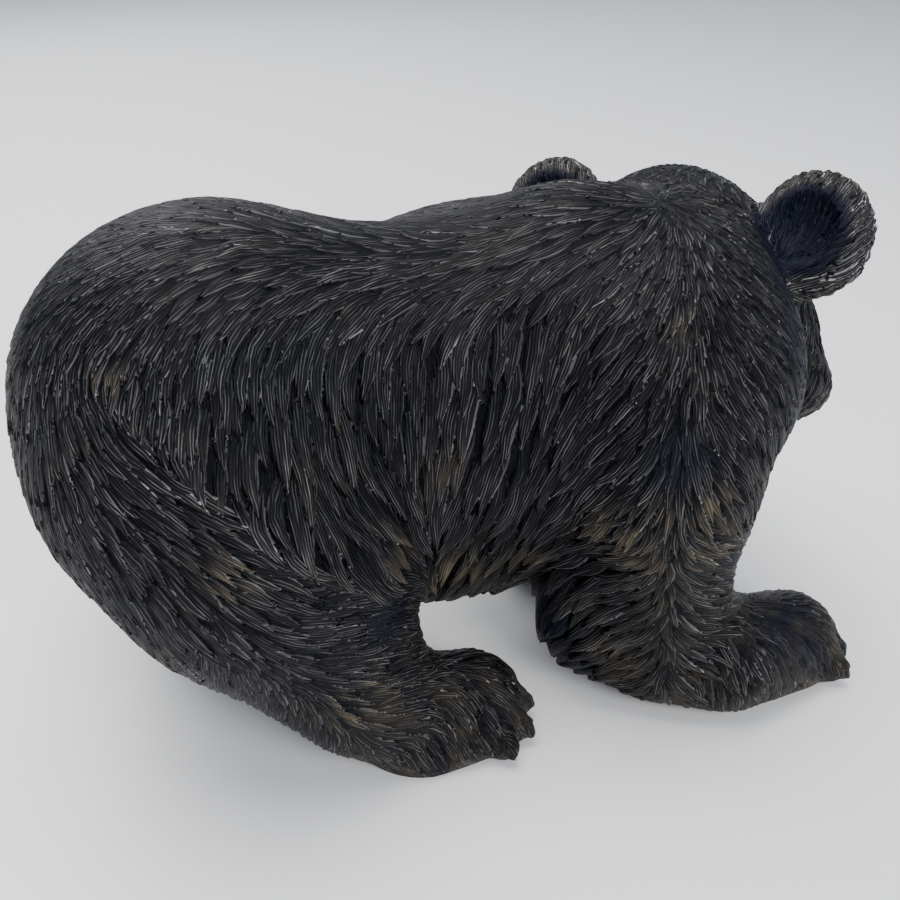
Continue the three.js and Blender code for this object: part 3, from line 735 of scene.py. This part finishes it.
def place_locks(points, normals, flows, sizes, random):
    """Seeds of the locks, spread evenly over the skin."""
    cells = {}
    chosen = []
    sides = np.cross(normals, flows)
    for i in random.permutation(len(points)):
        p = points[i]
        if p[2] < LOWEST_SEED:
            continue
        length, width = sizes[i, 0], sizes[i, 1]
        across, along = width * (1 - OVERLAP_ACROSS), length * (1 - OVERLAP_ALONG)
        base = tuple(int(v // SEED_CUBE) for v in p)
        near = []
        for a in (-1, 0, 1):
            for b in (-1, 0, 1):
                for c in (-1, 0, 1):
                    near += cells.get((base[0] + a, base[1] + b, base[2] + c), ())
        if near:
            gap = p - points[near]
            u = (gap * flows[near]).sum(1) / along
            v = (gap * sides[near]).sum(1) / across
            w = (gap * normals[near]).sum(1) / across
            if (u * u + v * v + w * w < 1).any():
                continue
        cells.setdefault(base, []).append(i)
        chosen.append(i)
    return np.array(chosen)


class Locks:
    """The locks of fur, each with its own frame, size and bend."""

    # How much locks of one kind differ in size, and how far one swings from side to side as
    # a share of its width.
    UNEVEN = 0.16
    SWING = 0.22
    # Outline: how fast the root widens, and how fast and how bluntly the tip narrows.
    ROOT = 3.2
    TIP = 2.4
    TIP_CURVE = 0.8
    # Height: that of the root as a share of the tip's, and how it climbs between them; how
    # far the sides fall off, how far one side leans up, and how steep and low the edges are.
    ROOT_HEIGHT = 0.18
    CLIMB = 0.85
    CROWN = 0.42
    LEAN = 0.3
    EDGE_STEEPNESS = 5
    EDGE_HEIGHT = 0.35
    # A lock spans this share of its length from its seed, and this share off its plane, and
    # lies only on skin that faces its way at least so much.
    SPAN = 0.56
    LIFT = 0.3
    FACING = 0.25
    # Size of the cubes in which the points below the locks are looked up, in millimetres.
    POINT_CUBE = 9.0

    def __init__(self, seeds, normals, flows, sizes, bends, random):
        count = len(seeds)
        self.seeds, self.normals, self.flows = seeds, normals, flows
        self.sides = np.cross(normals, flows)
        self.sizes = sizes * (1 + self.UNEVEN * random.uniform(-1, 1, (count, 1)))
        self.bends = bends
        self.swings = random.uniform(-1, 1, count)
        self.leans = random.uniform(-1, 1, count)
        self.tones = random.uniform(0, 1, count)

    def place(self, k, points):
        """Share of the lock's length from its root, and millimetres and share across it."""
        gap = points - self.seeds[k]
        length, width = self.sizes[k][..., 0], self.sizes[k][..., 1]
        u = (gap * self.flows[k]).sum(-1) / length + 0.5
        centre = self.bends[k] * (u - 0.5) ** 2 * length * 0.5
        # it swings to one side in the middle and back at both ends
        swing = np.sin(math.pi * (u * 1.6 - 0.3))
        centre = centre + width * self.SWING * self.swings[k] * swing
        across = (gap * self.sides[k]).sum(-1) - centre
        inside = np.clip(u, 0.02, 0.98)
        half = 0.5 * width * np.sqrt(np.minimum(1, self.ROOT * inside))
        half = half * np.minimum(1, (1 - inside) * self.TIP) ** self.TIP_CURVE
        return u, across, across / half

    def carve(self, points, normals):
        """Height of the topmost lock over each point, and the number of that lock."""
        height = np.zeros(len(points))
        owner = np.full(len(points), -1)
        buckets = Buckets(points, self.POINT_CUBE)
        for k in range(len(self.seeds)):
            length, _, thick = self.sizes[k]
            near = buckets.near(self.seeds[k], length * self.SPAN)
            lift = np.abs((points[near] - self.seeds[k]) @ self.normals[k])
            near = near[(lift < length * self.LIFT) & (normals[near] @ self.normals[k] > self.FACING)]
            u, _, v = self.place(k, points[near])
            keep = (u > 0) & (u < 1) & (np.abs(v) < 1)
            near, u, v = near[keep], u[keep], v[keep]
            climb = self.ROOT_HEIGHT + (1 - self.ROOT_HEIGHT) * u**self.CLIMB
            crown = 1 - self.CROWN * v * v + self.LEAN * self.leans[k] * v
            edge = np.minimum(1, (1 - np.abs(v)) * self.EDGE_STEEPNESS)
            top = thick * climb * crown * (self.EDGE_HEIGHT + (1 - self.EDGE_HEIGHT) * edge)
            above = top > height[near]
            height[near[above]] = top[above]
            owner[near[above]] = k
        return height, owner


def tree_of(points):
    tree = kdtree.KDTree(len(points))
    for i, p in enumerate(points.tolist()):
        tree.insert(p, i)
    tree.balance()
    return tree


def nearest(tree, points):
    return np.array([tree.find(p)[1] for p in points.tolist()])


def mesh_object(name, points, faces):
    mesh = bpy.data.meshes.new(name)
    mesh.from_pydata(points.tolist(), [], faces.tolist())
    mesh.update()
    thing = bpy.data.objects.new(name, mesh)
    bpy.context.scene.collection.objects.link(thing)
    return thing


def applied(thing):
    """Puts an object's modifiers into its mesh."""
    evaluated = thing.evaluated_get(bpy.context.evaluated_depsgraph_get())
    mesh = bpy.data.meshes.new_from_object(evaluated)
    thing.modifiers.clear()
    old = thing.data
    thing.data = mesh
    bpy.data.meshes.remove(old)


def coordinates(mesh):
    values = np.zeros(len(mesh.vertices) * 3, np.float32)
    mesh.vertices.foreach_get("co", values)
    return values.reshape(-1, 3).astype(float)


# Where the carver's origin lies in the frame, in millimetres.
ORIGIN = np.array([-5.47, -4.6, 0.0])

# A lock bends the way the flow turns over this share of its length on each side of its
# seed, and by this much at most.
BEND_REACH = 0.4
MOST_BEND = 0.9
# The locks are cut round the form's surface: this share of their thickness lies below it.
SUNK = 0.55
# This many thicknesses of a lock count as full relief, and bare wood has this share of it.
# The rims of the ears get this much more, as painted light.
FULL_RELIEF = 1.15
BARE_RELIEF = 0.45
RIM_LIGHT = 0.45
# Strands spread towards the tip of a lock by this share.
STRAND_SPREAD = 0.5
# Marks beyond the edges of a lock are kept no further across than this.
WIDEST_MARK = 1.5
# Points lower than this, in millimetres, belong to a sole.
GROUND = 1e-3


def lay_locks(points, normals, random):
    """Spreads the locks over the skin, each bent the way the flow turns there."""
    flows, sizes = fur(points)
    flows = unit(flows - normals * (flows * normals).sum(1, keepdims=True))
    chosen = place_locks(points, normals, flows, sizes, random)
    tree = tree_of(points)
    reach = flows[chosen] * sizes[chosen, :1] * BEND_REACH
    ahead, behind = (flows[nearest(tree, points[chosen] + way * reach)] for way in (1, -1))
    side = np.cross(normals[chosen], flows[chosen])
    bends = np.clip(((ahead - behind) * side).sum(1), -MOST_BEND, MOST_BEND)
    locks = Locks(points[chosen], normals[chosen], flows[chosen], sizes[chosen], bends, random)
    return locks, sizes[:, 2]


def read_from(items, name, width, kind):
    """A named value of every item of a mesh, as an array."""
    values = np.zeros(len(items) * width, kind)
    items.foreach_get(name, values)
    return values


def keep_on(mesh, name, domain, values):
    """Keeps numbers, or rows of three, on the points or the face corners of a mesh."""
    rows = values.ndim > 1
    layer = mesh.attributes.new(name, "FLOAT_VECTOR" if rows else "FLOAT", domain)
    layer.data.foreach_set("vector" if rows else "value", values.astype(np.float32).ravel())


def paint_marks(mesh, dense, relief, owner, locks):
    """Keeps on the mesh how high each point stands, and each face's place in its lock."""
    points = coordinates(mesh)
    tree = tree_of(dense)
    keep_on(mesh, "relief", "POINT", relief[nearest(tree, points)])
    # how far the stain has rubbed through, and painted shade as values below nothing
    keep_on(mesh, "wear_and_shade", "POINT", wear_and_shade(points))
    corners = read_from(mesh.loops, "vertex_index", 1, int)
    counts = read_from(mesh.polygons, "loop_total", 1, int)
    centres = read_from(mesh.polygons, "center", 3, np.float32).reshape(-1, 3)
    face = np.repeat(np.arange(len(counts)), counts)
    lock = owner[nearest(tree, centres)]
    loose = lock < 0
    lock[loose] = nearest(tree_of(locks.seeds), centres[loose].astype(float))
    k = lock[face]
    u, across, v = locks.place(k, points[corners])
    strand = np.stack([across * (1 + STRAND_SPREAD * u), u * locks.sizes[k, 0], locks.tones[k]], 1)
    keep_on(mesh, "strand", "CORNER", strand)
    keep_on(mesh, "edge", "CORNER", np.clip(v, -WIDEST_MARK, WIDEST_MARK))


def make_bear():
    random = np.random.default_rng(CARVE_SEED)
    points, quads = lattice_skin(LOW_CORNER, HIGH_CORNER, CELL)
    points, normals = settle(points, 2)
    locks, thick = lay_locks(points, normals, random)
    values, quads = finer(np.column_stack([points, thick]), quads)
    values[:, :3], _ = settle(values[:, :3], 1)
    values, quads = finer(values, quads)
    points, normals = settle(values[:, :3], 1)
    thick = values[:, 3]
    height, owner = locks.carve(points, normals)
    free = bare(points)
    carved = points + normals * ((height - SUNK * thick) * free)[:, None]
    carved[:, 2] = np.where(points[:, 2] < GROUND, 0, np.maximum(carved[:, 2], 0))
    relief = np.clip(height / (thick * FULL_RELIEF), 0, 1) * free + BARE_RELIEF * (1 - free)
    # painted light: the upper rims of the ears are coloured lighter, as if lit
    relief = np.clip(relief + RIM_LIGHT * lit_ear_rims(points), 0, 1)
    bear = mesh_object("carved_bear", carved, quads)
    thin = bear.modifiers.new("thin", "DECIMATE")
    thin.ratio = TRIANGLES / (2 * len(quads))
    applied(bear)
    paint_marks(bear.data, carved, relief, owner, locks)
    placed = (coordinates(bear.data) + ORIGIN) * MM
    placed = np.clip(placed, np.array(cad_box[0]), np.array(cad_box[1]))
    bear.data.vertices.foreach_set("co", placed.astype(np.float32).ravel())
    bear.data.update()
    return bear


# Stained wood

# Colours: the stain, darkened and turned blue by painted shade from the crests of the relief
# into its depths, the gouge lines' grooves, with painted shade, and their crests, with grey wood
# and painted highlights, a painted glint on the lit side of a lock and its shaded side, the
# darkest painted shade, and rubbed wood.
STAIN_AND_DEPTH_SHADE = (
    (0.0, (0.0005, 0.0008, 0.0021)),
    (0.4, (0.0018, 0.002, 0.0031)),
    (0.7, (0.006, 0.006, 0.0075)),
    (1.0, (0.02, 0.0196, 0.0215)),
)
GROOVE = (0.0008, 0.001, 0.0022)
GREY_WOOD_AND_HIGHLIGHT = (0.33, 0.327, 0.34)
GLINT_COLOUR = (0.5, 0.5, 0.51)
SHADED_SIDE = (0.0008, 0.001, 0.002)
PAINTED_SHADE_COLOUR = (0.0027, 0.0042, 0.012)
TAN_WOOD = (0.2, 0.155, 0.09)
# How much of each colour shows at most, and of the tan on crests, low down and in spots.
GREY_AND_HIGHLIGHT_ON_LINES = 0.9
GLINT_ON_SIDES = 0.85
GLINT_SHARE = 0.75
SHADED_SHARE = 0.85
PAINTED_SHADE_SHARE = 0.8
TAN_ON_CRESTS = 0.45
TAN_LOW_DOWN = 0.35
TAN_IN_SPOTS = 0.75
# Distance between the gouge lines of a lock and how far they wander, in millimetres.
LINE_GAP = 1.3
LINE_WANDER = 1.1
# Scales of the noise, per metre: of the wandering, of worn patches, and of wear low down.
WANDER_SCALE = 130.0
PATCH_SCALE = 26.0
LOW_WEAR_SCALE = 60.0
# How fast the noise of the fine scratches changes across and along a lock, how fast that of
# the streaks of light changes from line to line and along it, and how much both change from
# lock to lock.
SCRATCH_ACROSS = 3.2
SCRATCH_ALONG = 0.12
STREAK_ACROSS = 3.7
STREAK_ALONG = 0.09
LOCK_CHANGE = 40.0
# Roughness without scratches, what they add, and the strength of reflections.
ROUGHNESS = 0.36
SCRATCH_ROUGHNESS = 0.22
GLOSS = 0.09
# Fine relief: shares of the lines and of the scratches, strength, and depth in metres.
LINE_RELIEF = 0.6
SCRATCH_RELIEF = 0.5
RELIEF_STRENGTH = 0.9
RELIEF_DEPTH = 0.0004


class Shading:
    """A material, with short calls that make its nodes and link them."""

    def __init__(self, name):
        self.material = bpy.data.materials.new(name)
        self.material.use_nodes = True
        self.nodes = self.material.node_tree.nodes
        self.shader = self.nodes["Principled BSDF"]

    def feed(self, value, socket):
        """Sets a socket to a number or a colour, or links a node's output to it."""
        if isinstance(value, (int, float)):
            socket.default_value = value
        elif isinstance(value, tuple):
            socket.default_value = (*value, 1)
        else:
            self.material.node_tree.links.new(value, socket)

    def attribute(self, name, output="Fac"):
        made = self.nodes.new("ShaderNodeAttribute")
        made.attribute_name = name
        return made.outputs[output]

    def maths(self, operation, a, b=0.0):
        made = self.nodes.new("ShaderNodeMath")
        made.operation = operation
        self.feed(a, made.inputs[0])
        self.feed(b, made.inputs[1])
        return made.outputs[0]

    def plus(self, a, b):
        return self.maths("ADD", a, b)

    def larger(self, a, b):
        return self.maths("MAXIMUM", a, b)

    def times(self, first, *others):
        for other in others:
            first = self.maths("MULTIPLY", first, other)
        return first

    def ramp(self, value, *stops):
        """Colours or greys that follow a value, through pairs of a value and a colour."""
        made = self.nodes.new("ShaderNodeValToRGB")
        self.feed(value, made.inputs[0])
        points = made.color_ramp.elements
        while len(points) < len(stops):
            points.new(0.5)
        for point, (at, colour) in zip(points, stops):
            point.position = at
            point.color = (*colour, 1) if isinstance(colour, tuple) else (colour,) * 3 + (1,)
        return made.outputs[0]

    def mix(self, share, a, b):
        made = self.nodes.new("ShaderNodeMix")
        made.data_type = "RGBA"
        self.feed(share, made.inputs[0])
        self.feed(a, made.inputs[6])
        self.feed(b, made.inputs[7])
        return made.outputs[2]

    def noise(self, place, scale, detail, rough=0.55):
        made = self.nodes.new("ShaderNodeTexNoise")
        made.inputs["Scale"].default_value = scale
        made.inputs["Detail"].default_value = detail
        made.inputs["Roughness"].default_value = rough
        self.feed(place, made.inputs["Vector"])
        return made.outputs["Fac"]

    def joined(self, *values):
        made = self.nodes.new("ShaderNodeCombineXYZ")
        for value, socket in zip(values, made.inputs):
            self.feed(value, socket)
        return made.outputs[0]

    def split(self, value):
        made = self.nodes.new("ShaderNodeSeparateXYZ")
        self.feed(value, made.inputs[0])
        return made.outputs


def gouge_lines(wood, place, across, along, tone):
    """The crests of the lines cut along each lock, finer scratches, and streaks of light."""
    maths, times = wood.maths, wood.times
    wander = times(maths("SUBTRACT", wood.noise(place, WANDER_SCALE, 2.0), 0.5), LINE_WANDER)
    line = times(wood.plus(across, wander), 1 / LINE_GAP)
    saw = maths("ABSOLUTE", maths("SUBTRACT", maths("FRACT", line), 0.5))
    crest = times(saw, 2.0)
    lock_change = times(tone, LOCK_CHANGE)
    scratch_place = wood.joined(times(across, SCRATCH_ACROSS), times(along, SCRATCH_ALONG), lock_change)
    scratch = wood.noise(scratch_place, 1.0, 2.0)
    # some lines catch the light and their neighbours hardly do
    number = maths("ROUND", line)
    streak_place = wood.joined(times(number, STREAK_ACROSS), times(along, STREAK_ALONG), lock_change)
    streak = wood.ramp(wood.noise(streak_place, 1.0, 1.0), (0.42, 0.1), (0.63, 1.0))
    return crest, scratch, streak


def stain_colour(wood, relief, tone, crest, scratch, streak):
    """Stain with painted shade in the depths, grey wood and painted highlights on the crests, and a painted
    glint on the lit side of a lock and painted shade on its shaded side.
    """
    times, ramp, mix = wood.times, wood.ramp, wood.mix
    # stain, with painted shade that makes it darker and bluer in the depths of the relief and in the
    # grooves between the gouge lines
    colour = mix(ramp(crest, (0.0, 0.7), (0.5, 0.0)), ramp(relief, *STAIN_AND_DEPTH_SHADE), GROOVE)
    across = wood.plus(times(wood.attribute("edge"), 0.5), 0.5)
    bright_side = ramp(across, (0.84, 0.0), (0.93, 1.0), (1.0, 0.4))
    dark_side = ramp(across, (0.02, 1.0), (0.14, 0.0))
    thin_crest = times(wood.maths("POWER", crest, 5.0), ramp(scratch, (0.3, 0.25), (0.6, 1.0)))
    # grey wood and painted highlights on the thin crests of the gouge lines
    on_lines = times(wood.maths("POWER", relief, 1.3), GREY_AND_HIGHLIGHT_ON_LINES, thin_crest, streak)
    # painted glints: a lit edge along one side of some locks
    glint = ramp(tone, (0.2, 0.3), (0.9, 1.0))
    glint_on_sides = times(relief, GLINT_ON_SIDES, glint, bright_side)
    colour = mix(wood.larger(on_lines, glint_on_sides), colour, GREY_WOOD_AND_HIGHLIGHT)
    # the brightest few locks carry a painted glint along one side
    few_locks = ramp(tone, (0.72, 0.0), (0.8, 1.0))
    glint_side = times(bright_side, few_locks, ramp(relief, (0.5, 0.0), (0.9, 1.0)))
    colour = mix(times(glint_side, GLINT_SHARE), colour, GLINT_COLOUR)
    return mix(times(dark_side, SHADED_SHARE), colour, SHADED_SIDE)


def tan_share(wood, place, relief, scratch, wear_and_shade_there):
    """How much tan wood shows: on crests here and there, low on the legs, and in spots."""
    times, ramp = wood.times, wood.ramp
    patches = wood.noise(place, PATCH_SCALE, 3.0, 0.6)
    crests = times(ramp(patches, (0.45, 0.0), (0.68, 1.0)), ramp(relief, (0.5, 0.0), (0.95, 1.0)),
                   ramp(scratch, (0.48, 0.0), (0.72, 1.0)))
    decimetres_up = times(wood.split(place)[2], 10.0)
    low_down = times(ramp(decimetres_up, (0.02, 1.0), (0.12, 0.35), (0.8, 0.0)),
                     ramp(wood.noise(place, LOW_WEAR_SCALE, 3.0, 0.6), (0.46, 0.0), (0.7, 1.0)))
    broken = ramp(wood.plus(times(scratch, 0.5), times(patches, 0.5)), (0.46, 0.0), (0.6, 1.0))
    spots = times(wood.larger(wear_and_shade_there, 0.0), broken, ramp(relief, (0.35, 0.0), (0.9, 1.0)))
    share = wood.larger(times(crests, TAN_ON_CRESTS), times(low_down, TAN_LOW_DOWN))
    return wood.larger(share, times(spots, TAN_IN_SPOTS))


def stained_wood():
    wood = Shading("dark_stained_wood")
    place = wood.nodes.new("ShaderNodeTexCoord").outputs["Object"]
    relief = wood.attribute("relief")
    wear_and_shade_there = wood.attribute("wear_and_shade")
    across, along, tone = wood.split(wood.attribute("strand", "Vector"))
    crest, scratch, streak = gouge_lines(wood, place, across, along, tone)
    colour = stain_colour(wood, relief, tone, crest, scratch, streak)
    # painted shade: a dark navy where shade falls, in the ear hollows, by the ruffs and in creases
    painted_shade = wood.larger(wood.times(wear_and_shade_there, -1.0), 0.0)
    colour = wood.mix(wood.times(painted_shade, PAINTED_SHADE_SHARE), colour, PAINTED_SHADE_COLOUR)
    colour = wood.mix(tan_share(wood, place, relief, scratch, wear_and_shade_there), colour, TAN_WOOD)
    rough = wood.plus(wood.times(scratch, SCRATCH_ROUGHNESS), ROUGHNESS)
    lines = wood.plus(wood.times(crest, LINE_RELIEF), wood.times(scratch, SCRATCH_RELIEF))
    bump = wood.nodes.new("ShaderNodeBump")
    bump.inputs["Strength"].default_value = RELIEF_STRENGTH
    bump.inputs["Distance"].default_value = RELIEF_DEPTH
    wood.feed(lines, bump.inputs["Height"])
    wood.feed(bump.outputs[0], wood.shader.inputs["Normal"])
    wood.feed(colour, wood.shader.inputs["Base Color"])
    wood.feed(rough, wood.shader.inputs["Roughness"])
    wood.shader.inputs["Specular IOR Level"].default_value = GLOSS
    return wood.material


# Studio, in metres

TABLE_REACH = 6
TABLE_COLOUR = (0.88, 0.885, 0.89)
TABLE_ROUGHNESS = 0.5
ROOM_COLOUR = (0.86, 0.91, 1.0)
ROOM_STRENGTH = 0.56
# Square lamps that look at the bear: place, length of a side, and power in watts.
LAMPS = {
    "overhead": ((-0.15, 0.1, 1.5), 1.1, 26.0),
    "front": ((0.5, -1.5, 1.0), 0.8, 27.0),
    "back": ((-0.5, 1.5, 1.2), 1.0, 20.0),
}
LAMP_TARGET = Vector((0, 0, 0.1))


def add_to_scene(name, data):
    thing = bpy.data.objects.new(name, data)
    bpy.context.scene.collection.objects.link(thing)
    return thing


def make_table():
    corners = np.array([[-1, -1, 0], [1, -1, 0], [1, 1, 0], [-1, 1, 0]], float) * TABLE_REACH
    table = mesh_object("table", corners, np.array([[0, 1, 2, 3]]))
    pale = Shading("pale_table")
    pale.feed(TABLE_COLOUR, pale.shader.inputs["Base Color"])
    pale.feed(TABLE_ROUGHNESS, pale.shader.inputs["Roughness"])
    table.data.materials.append(pale.material)


def make_light():
    world = bpy.data.worlds.new("room")
    bpy.context.scene.world = world
    world.use_nodes = True
    background = world.node_tree.nodes["Background"]
    background.inputs["Color"].default_value = (*ROOM_COLOUR, 1)
    background.inputs["Strength"].default_value = ROOM_STRENGTH
    for name, (place, side, power) in LAMPS.items():
        lamp = bpy.data.lights.new(name, "AREA")
        lamp.shape = "SQUARE"
        lamp.size = side
        lamp.energy = power
        holder = add_to_scene(name, lamp)
        holder.location = place
        holder.rotation_euler = (LAMP_TARGET - Vector(place)).to_track_quat("-Z", "Y").to_euler()


# The camera stands to the right of the bear and a little behind it, and looks down: degrees,
# and millimetres from the carver's origin.
CAMERA_AZIMUTH = -13.5
CAMERA_ELEVATION = 31
CAMERA_DISTANCE = 430
CAMERA_TARGET = np.array([1.0, 0.0, 99.0])
# Focal length in pixels of a photograph 900 pixels wide, and the sensor's width.
FOCAL_PIXELS = 1040
PHOTO_WIDTH = 900
SENSOR_WIDTH = 36
NEAREST_SEEN = 0.01


def make_camera():
    a, e = math.radians(CAMERA_AZIMUTH), math.radians(CAMERA_ELEVATION)
    back = Vector((math.sin(a) * math.cos(e), -math.cos(a) * math.cos(e), math.sin(e)))
    camera = bpy.data.cameras.new("camera")
    camera.sensor_width = SENSOR_WIDTH
    camera.lens = SENSOR_WIDTH * FOCAL_PIXELS / PHOTO_WIDTH
    camera.clip_start = NEAREST_SEEN
    holder = add_to_scene("camera", camera)
    holder.location = Vector((CAMERA_TARGET + ORIGIN) * MM) + back * CAMERA_DISTANCE * MM
    holder.rotation_euler = back.to_track_quat("Z", "Y").to_euler()
    bpy.context.scene.camera = holder


make_camera()
make_table()
make_light()
bear = make_bear()
bear.data.materials.append(stained_wood())
for polygon in bear.data.polygons:
    polygon.use_smooth = False
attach(bear, BODY)
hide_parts(NODE)
